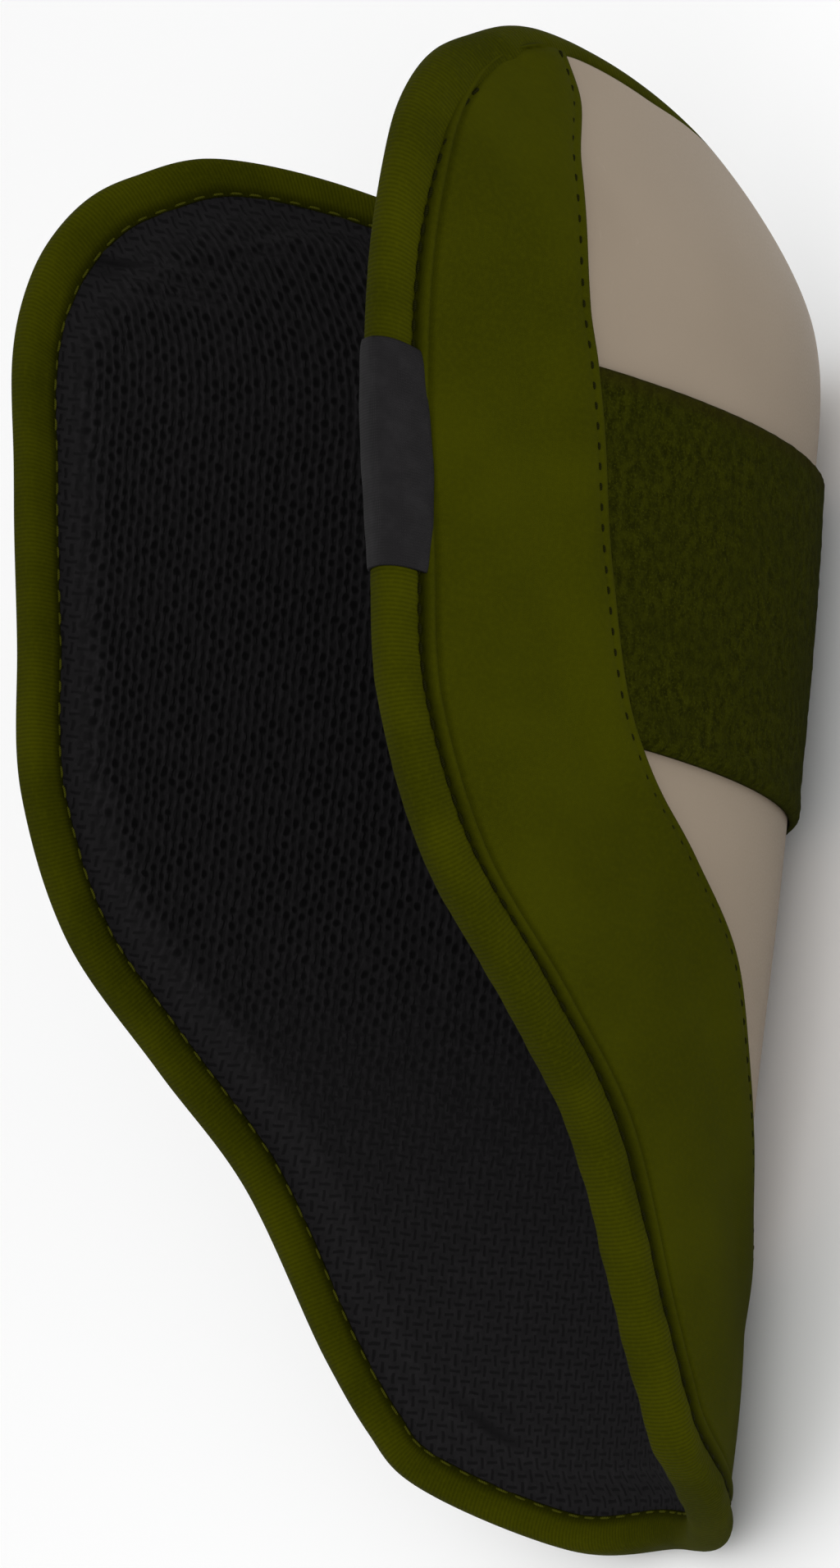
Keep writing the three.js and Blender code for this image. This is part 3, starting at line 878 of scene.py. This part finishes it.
# Distances from the window's edge to the outline, fine near both
WINDOW_STEPS = np.array([0, 0.12, 0.3, 0.55, 0.9, 1.4, 1.8, 2.2, 2.8, 3.6, 4.8])
OUTLINE_STEPS = np.array([0, 2, 3.6, 4.6, 5.2, 5.7, 6.2, 6.7, 7.2, 7.6, 8.0, 8.35, 8.7, 9.0, 9.4, 10, 11,
                          12.5, 14.5])
PLAIN_CELLS = 18
CREASE = 8.1
CREASE_HALF = 0.5
SEAM_STRIP = 6.9
SEAM_STITCHED = 5.4
WINDOW_STITCH = 2.0
COVER_ON_CAP = 4.0
COVER_ON_BAND = 0.9
COVER_ON_FOAM = 2.7
COVER_TUCKED = 1.7
COVER_PUFF = 0.9


def cover_distances(width):
    near = WINDOW_STEPS * min(1.0, 0.3 * width / WINDOW_STEPS[-1])
    far = width - OUTLINE_STEPS[::-1] * min(1.0, 0.62 * width / OUTLINE_STEPS[-1])
    plain = np.linspace(near[-1], far[0], PLAIN_CELLS + 1)[1:-1]
    return np.concatenate([near, plain, far])


def creased(edge, width):
    return np.exp(-((edge - CREASE) / CREASE_HALF)**2) * smooth((width - 13) / 4)


def cover_lift(past, width, up, across):
    edge = width - past
    over = over_band(up)
    fall = smooth((past - 3) / 12)
    high = (COVER_ON_CAP + COVER_ON_BAND * over) * (1 - fall) + COVER_ON_FOAM * fall
    puff = COVER_PUFF * np.sin(math.pi * np.clip(past / np.maximum(width - 6, 1), 0, 1))**0.8
    puff *= smooth((width - 8) / 14)
    uneven = 0.22 * waves(across, up, 11, 42) * smooth((edge - 6) / 6) * smooth(past / 6)
    strip = 0.55 * np.exp(-((edge - SEAM_STRIP) / 0.9)**2)
    groove = 0.55 * creased(edge, width)
    hem = 0.22 * np.exp(-((past - WINDOW_STITCH) / 0.45)**2)
    lip = 0.75 * (1 - np.sqrt(np.clip(1 - (1 - np.clip(past / 0.9, 0, 1))**2, 0, 1)))
    lift = high + puff + uneven + strip - groove - hem - lip
    beneath = smooth((edge - 4.6) / 1.6)
    return COVER_TUCKED * (1 - beneath) + lift * beneath


# Painted shade along the cloth's seams: in the stitched groove and in the crease beside it
def seam_shade(past, width):
    edge = width - past
    stitched = 0.85 * np.exp(-((edge - SEAM_STITCHED) / 0.95)**2)
    return np.clip(stitched + 0.32 * creased(edge, width), 0, 1)


def cover(material):
    stations = np.linspace(0.62, FLAP_KNOTS - 1, 450)
    near_window, near_edge = stacked(*window_at(stations)), stacked(*edge_at(stations))
    window = np.vstack([near_window, mirrored(near_window[:-1])[::-1]])
    edge = np.vstack([near_edge, mirrored(near_edge[:-1])[::-1]])
    rows, coords = [], []
    for w, e in zip(window, edge):
        width = float(span(w[0], w[1], e[0], e[1]))
        past = cover_distances(width)
        place = w + (e - w) * (past / width)[:, None]
        across = arc_at(place[:, 0], place[:, 1])
        top = skin(place[:, 0], place[:, 1], cover_lift(past, width, place[:, 1], across))
        under_past = np.linspace(0, 1, 9)[::-1] * width
        under = w + (e - w) * (under_past / width)[:, None]
        tuck = tuck_at(width)
        lap = 1 - smooth((under_past - tuck - 0.6) / 3.0)
        low = 0.35 + lap * (2.3 + 0.7 * over_band(under[:, 1]))
        bottom = skin(under[:, 0], under[:, 1], low)
        shade = seam_shade(past, width)
        rows.append(np.vstack([top, bottom]))
        coords.append(np.vstack([cloth_coords(place[:, 0], place[:, 1], shade),
                                 cloth_coords(under[:, 0], under[:, 1])]))
    points, cloth = np.array(rows), np.array(coords)
    return swept("stretch_cover", points, cloth, material, "outer_cover")


# 0 where the guard touches the floor, 1 up its sides
def off_floor(turns):
    return smooth((np.abs(turns) - 0.25) / 0.35)


# Loop band, its lower edge rolled a little outward
BAND_ROWS = 74
BAND_COLUMNS = 230
BAND_ROLL = 0.6


def band(material):
    ups = BAND_BOTTOM + (BAND_TOP - BAND_BOTTOM) * end_weighted(BAND_ROWS, 0.85)
    fine = np.linspace(0, FLAP_KNOTS - 1, 4000)
    turn, up = window_at(fine)
    reach = np.interp(ups, up[::-1], turn[::-1])
    reach = reach + (BAND_TUCK - 0.5) / stretch_at(reach, ups)
    turns = reach[:, None] * np.linspace(-1, 1, BAND_COLUMNS)[None]
    heights = np.broadcast_to(ups[:, None], turns.shape)
    across = arc_at(turns, heights)
    low_edge = heights - BAND_BOTTOM
    high_edge = BAND_TOP - heights
    exposed = smooth((reach[:, None] - np.abs(turns)) * 80 / 8 - 0.4)
    round_low = 0.7 * np.exp(-(low_edge / 0.5)**2)
    round_high = 0.7 * np.exp(-(high_edge / 0.4)**2)
    roll = BAND_ROLL * np.exp(-((low_edge - 2.2) / 2.2)**2) * exposed * off_floor(turns)
    pile = 0.13 * waves(across, heights, 21, 2.6) + 0.1 * waves(across, heights, 22, 5.5)
    lift = BAND_HIGH - 0.25 + roll + (0.1 + pile) * exposed - round_low - round_high
    outer = skin(turns, heights, lift)
    inner = skin(turns, heights, BAND_LOW)
    return closed_grid("strap_band", outer, inner, turns, heights, material, "loop_band")


# Section of the binding: distance into the sheet and lift, round the outside then back inside
TAPE_OUTER = [
    (5.15, 2.25), (4.7, 2.75), (3.9, 3.2), (2.6, 3.5), (1.2, 3.5), (0.1, 3.05), (-0.75, 2.1), (-1.15, 0.9),
    (-1.2, -0.4), (-1.1, -1.7), (-0.7, -2.85), (0.15, -3.55), (1.3, -3.85), (2.7, -3.85), (4.0, -3.6),
    (4.75, -3.3), (5.15, -3.0),
]
TAPE_INNER = [
    (4.9, -2.7), (2.5, -2.75), (0.4, -2.6), (-0.5, -1.2), (-0.5, 0.8), (0.4, 2.2), (2.5, 2.3), (4.9, 1.9),
]

# Its section on the rim, where it ends at the cap's edge
RIM_OUTER = [
    (3.1, 1.7), (2.1, 2.1), (1.0, 2.25), (0.3, 2.15), (-0.3, 1.8), (-0.7, 1.3), (-0.95, 0.7), (-1.1, 0.0),
    (-1.2, -0.8), (-1.1, -1.8), *TAPE_OUTER[10:],
]
RIM_INNER = [*TAPE_INNER[:4], (-0.6, -0.2), (-0.3, 0.6), (0.6, 1.3), (2.9, 1.3)]
TAPE_SPACING = 0.62

# Millimetres round the outside of the section
TAPE_ROUND = float(np.linalg.norm(np.diff(TAPE_OUTER, axis=0), axis=1).sum())


# 1 along the rim, 0 down the flaps
def rim_share(turn, up):
    degrees = np.degrees(np.abs(turn))
    return smooth((71 - degrees) / 12) * smooth((up / LENGTH - 0.7) / 0.1)


def rounded_section(outer, inner, outer_count, inner_count):
    top = curve_at(outer, np.linspace(0, len(outer) - 1, outer_count), False)
    back = curve_at(inner, np.linspace(0, len(inner) - 1, inner_count), False)
    return np.vstack([top, back])


# Ribbed tape folded round the whole edge, a little plumper here and there
def binding(material):
    stations, lengths = even_stations(outline_at, 0, OUTLINE_COUNT, TAPE_SPACING, True)
    turn, up = outline_at(stations)
    in_turn, in_up = inward_beside(outline_at, stations)
    plain = rounded_section(TAPE_OUTER, TAPE_INNER, 34, 12)
    narrow = rounded_section(RIM_OUTER, RIM_INNER, 34, 12)
    share = rim_share(turn, up)[:, None, None]
    section = plain * (1 - share) + narrow * share
    inset, lift = section[..., 0], section[..., 1]
    length = lengths[:, None]
    plump = 1 + 0.035 * np.sin(length * 2 * math.pi / 17) + 0.025 * np.sin(length * 2 * math.pi / 7.3 + 1)
    plump = 1 + (plump - 1) * off_floor(turn)[:, None]
    lift = lift * np.where(np.abs(lift) > 2.8, plump, 1.0)
    points = skin(turn[:, None] + in_turn[:, None] * inset, up[:, None] + in_up[:, None] * inset, lift)
    steps = np.linalg.norm(np.diff(plain, axis=0), axis=1)
    around = np.concatenate([[0], np.cumsum(steps)])[None]
    coords = np.stack(np.broadcast_arrays(length, around, 0.0), -1)
    return swept("edge_tape", points, coords, material, "edge_binding", closed=True)


# Woven tag folded round the binding
LABEL_OUTER = [
    (7.0, 2.9), (6.4, 3.45), (5.0, 3.95), (3.0, 4.3), (1.2, 4.3), (-0.2, 3.8), (-1.3, 2.6), (-1.75, 1.0),
    (-1.8, -0.6), (-1.65, -2.1), (-1.1, -3.4), (0.0, -4.2), (1.4, -4.55), (3.2, -4.55), (5.0, -4.3),
    (6.4, -4.0), (7.0, -3.8),
]
LABEL_INNER = [
    (6.95, -3.45), (5.0, -3.9), (3.0, -4.15), (1.2, -4.1), (0.0, -3.75), (-0.85, -2.9), (-1.3, -1.4),
    (-1.35, 0.8), (-0.9, 2.3), (0.0, 3.3), (1.2, 3.85), (3.0, 3.85), (5.0, 3.5), (6.95, 2.6),
]


def label(material):
    first, last = LABEL_MIDDLE + LABEL_LENGTH / 2, LABEL_MIDDLE - LABEL_LENGTH / 2
    fine = np.linspace(3, 9, 3000)
    ups = edge_at(fine)[1]
    limits = np.interp([first, last], ups[::-1], fine[::-1])
    stations, lengths = even_stations(edge_at, limits[0], limits[1], 0.5)
    section = rounded_section(LABEL_OUTER, LABEL_INNER, 50, 50)
    turn, up = edge_at(stations)
    in_turn, in_up = inward_beside(edge_at, stations)
    share = lengths / lengths[-1]
    bow = np.sin(math.pi * share)[:, None]
    inset, lift = section[:, 0][None], section[:, 1][None]
    leg = np.clip(inset / 7.0, 0, 1) * (lift > 0)
    inset = inset + leg * (1.5 * bow - 0.4)
    crimp = 0.1 * np.sin(share * 2 * math.pi * 4.0 + 0.5)[:, None] * np.clip(np.abs(lift) / 4, 0, 1)
    ends = 0.35 * (np.exp(-share * 40) + np.exp(-(1 - share) * 40))[:, None]
    lift = lift + np.sign(lift) * (0.35 * bow + crimp - ends) * (np.abs(lift) > 2.0)
    points = skin(turn[:, None] + in_turn[:, None] * inset, up[:, None] + in_up[:, None] * inset, lift)
    round_section = np.concatenate([[0], np.cumsum(np.linalg.norm(np.diff(section, axis=0), axis=1))])
    coords = np.stack(np.broadcast_arrays(round_section[None], lengths[:, None], 0.0), -1)
    return swept("woven_tag", points, coords, material, "side_label")


# Stitches as short threads that dive into the cloth at both ends
STITCH_SINK = 0.4
STITCH_PROUD = 0.06
TAPE_PITCH = 3.3
TAPE_SEAM = 4.9
TAPE_SEAM_LIFT = 2.85
LINING_PITCH = 3.9
LINING_SEAM = 4.75
LINING_SEAM_LIFT = -3.45
WINDOW_PITCH = 3.3


def stitch_row(name, centres, along, out, length, radius, material, slot):
    steps, sides = 9, 6
    place = np.linspace(-1, 1, steps)
    thick = radius * np.sqrt(np.clip(1 - place**4 * 0.75, 0, 1))
    dip = -STITCH_SINK * place**4
    angle = np.linspace(0, 2 * math.pi, sides, endpoint=False)
    aside = np.cross(along, out)
    ring = (aside[:, None, None] * np.cos(angle)[None, None, :, None]
            + out[:, None, None] * np.sin(angle)[None, None, :, None]) * thick[None, :, None, None]
    spine = (along[:, None] * (place * length / 2)[None, :, None] + out[:, None] * dip[None, :, None])
    points = centres[:, None, None] + spine[:, :, None] + ring
    one = quads(steps, sides, False, True)
    caps = np.array([[0, 1, 2, 3], [0, 3, 4, 5]])
    tail = caps[:, ::-1] + (steps - 1) * sides
    one = np.vstack([one, caps, tail])
    faces = (one[None] + (np.arange(len(centres)) * steps * sides)[:, None, None]).reshape(-1, 4)
    thread = np.stack(np.broadcast_arrays(place[:, None] * length, angle[None], 0.0), -1)
    coords = np.broadcast_to(thread[None], points.shape)
    return add_piece(name, points, faces, coords, material)


# Centres, directions and outward normals of a row at a distance beside a run
def row_frames(run, first, last, pitch, inset, lift, outside, closed=False):
    stations, _ = even_stations(run, first, last, pitch, closed)
    in_turn, in_up = inward_beside(run, stations)
    turn, up = run(stations)
    turn = turn + in_turn * inset
    up = up + in_up * inset
    lifts = lift(turn, up) if callable(lift) else np.full(len(turn), float(lift))
    centres = skin(turn, up, lifts)
    out = skin(turn, up, lifts + 1) - centres
    out /= np.linalg.norm(out, axis=1)[:, None]
    turn_b, up_b = run(stations + 0.01)
    ib_turn, ib_up = inward_beside(run, stations + 0.01)
    ahead = skin(turn_b + ib_turn * inset, up_b + ib_up * inset, lifts)
    along = ahead - centres
    along -= (along * out).sum(1)[:, None] * out
    along /= np.linalg.norm(along, axis=1)[:, None]
    return centres, along, out * (1 if outside else -1)


def only(kept, parts):
    return [part[kept] for part in parts]


def stitches(thread, dark_thread):
    outer = row_frames(outline_at, 0, OUTLINE_COUNT, TAPE_PITCH, TAPE_SEAM, TAPE_SEAM_LIFT, True, True)
    stations, _ = even_stations(outline_at, 0, OUTLINE_COUNT, TAPE_PITCH, True)
    outer = only(rim_share(*outline_at(stations)) < 0.1, outer)
    inner = row_frames(outline_at, 0, OUTLINE_COUNT, LINING_PITCH, LINING_SEAM, LINING_SEAM_LIFT, False, True)
    made = [
        stitch_row("tape_stitches", *outer, 2.1, 0.3, dark_thread, "binding_tape"),
        stitch_row("lining_stitches", *inner, 2.3, 0.24, thread, "binding_tape"),
    ]
    stations, _ = even_stations(window_at, 1.0, FLAP_KNOTS - 1, WINDOW_PITCH)
    width = span(*window_at(stations), *edge_at(stations))

    def window_lift(turn, up):
        here = np.full(len(turn), WINDOW_STITCH)
        return cover_lift(here, width, up, arc_at(turn, up)) + STITCH_PROUD

    near = row_frames(window_at, 1.0, FLAP_KNOTS - 1, WINDOW_PITCH, -WINDOW_STITCH, window_lift, True)
    far = [part * (-1, 1, 1) for part in near]
    both = [np.vstack([a, b[:-1]]) for a, b in zip(near, far)]
    made.append(stitch_row("window_stitches", *both, 1.5, 0.28, dark_thread, "cover_cloth"))
    return made


def build_guard():
    lining_cloth = lining(lining_material())
    core = foam(foam_material())
    cap = shell(shell_material())
    loop = band(band_material())
    cloth = cover(cover_material())
    tape = binding(binding_material())
    tag = label(label_material())
    thread = thread_material("olive_thread", THREAD_OLIVE)
    dark_thread = thread_material("dark_thread", THREAD_DARK)
    tape_row, lining_row, window_row = stitches(thread, dark_thread)


# Camera at the photo's angle to the guard
CAMERA_AIM = np.array([0.0, -45.0, 117.5])
CAMERA_THETA = math.radians(59.0)
CAMERA_RISE = math.radians(-10.6)
CAMERA_ROLL = math.radians(4.2)
CAMERA_DISTANCE = 1098.0
FOCAL_PIXELS = 7951.0
OFF_MIDDLE = (100.0, 40.0)
IMAGE_HEIGHT = 1912.0


def camera_axes():
    theta, rise, roll = CAMERA_THETA, CAMERA_RISE, CAMERA_ROLL
    back = np.array([math.sin(theta) * math.cos(rise), -math.cos(theta) * math.cos(rise), math.sin(rise)])
    level = np.array([math.cos(theta), math.sin(theta), 0.0])
    upward = np.cross(back, level)
    right = math.cos(roll) * level + math.sin(roll) * upward
    above = -math.sin(roll) * level + math.cos(roll) * upward
    forward = -back - right * OFF_MIDDLE[0] / FOCAL_PIXELS + above * OFF_MIDDLE[1] / FOCAL_PIXELS
    forward /= np.linalg.norm(forward)
    side = np.cross(forward, above)
    side /= np.linalg.norm(side)
    return back, side, np.cross(side, forward), forward


def add_camera():
    back, side, above, forward = camera_axes()
    place = placed(CAMERA_AIM + back * CAMERA_DISTANCE)[0]
    side, above, forward = (REST @ axis for axis in (side, above, forward))
    data = bpy.data.cameras.new("camera")
    data.sensor_fit = "VERTICAL"
    data.sensor_height = 36.0
    data.lens = 36.0 * FOCAL_PIXELS / IMAGE_HEIGHT
    data.clip_start = 0.01
    data.clip_end = 60.0
    camera = bpy.data.objects.new("camera", data)
    turned = Matrix([[side[k], above[k], -forward[k], place[k]] for k in range(3)] + [[0, 0, 0, 1]])
    camera.matrix_world = turned
    bpy.context.scene.collection.objects.link(camera)
    bpy.context.scene.camera = camera


# Pale floor and soft lights: name, place, size and power
FLOOR_REACH = 6.0
WORLD_STRENGTH = 0.8
LIGHT_AIM = (0.0, 0.0, 0.05)
LIGHTS = [
    ("overhead", (0.3, 0.1, 1.6), 1.8, 4.0),
    ("camera_side", (1.3, -0.35, 0.85), 1.5, 10.0),
]


def add_floor():
    mesh = bpy.data.meshes.new("floor")
    corners = [(x * FLOOR_REACH, y * FLOOR_REACH, 0) for x, y in ((-1, -1), (1, -1), (1, 1), (-1, 1))]
    mesh.from_pydata(corners, [], [(0, 1, 2, 3)])
    floor = bpy.data.objects.new("floor", mesh)
    g = Graph("floor_paint")
    mesh.materials.append(g.finish(FLOOR_WHITE, 0.9, Specular_IOR_Level=0.1))
    bpy.context.scene.collection.objects.link(floor)


def add_light(name, place, size, power):
    data = bpy.data.lights.new(name, "AREA")
    data.shape = "DISK"
    data.size = size
    data.energy = power
    light = bpy.data.objects.new(name, data)
    direction = Vector(place) - Vector(LIGHT_AIM)
    light.rotation_mode = "QUATERNION"
    light.rotation_quaternion = direction.to_track_quat("Z", "Y")
    light.location = place
    bpy.context.scene.collection.objects.link(light)


def add_lights():
    world = bpy.data.worlds.new("studio")
    world.use_nodes = True
    background = world.node_tree.nodes["Background"]
    background.inputs["Color"].default_value = rgb(1.0, 1.0, 1.0)
    background.inputs["Strength"].default_value = WORLD_STRENGTH
    bpy.context.scene.world = world
    for light in LIGHTS:
        add_light(*light)


build_guard()
add_camera()
add_floor()
add_lights()
bpy.context.scene.view_settings.view_transform = "Standard"
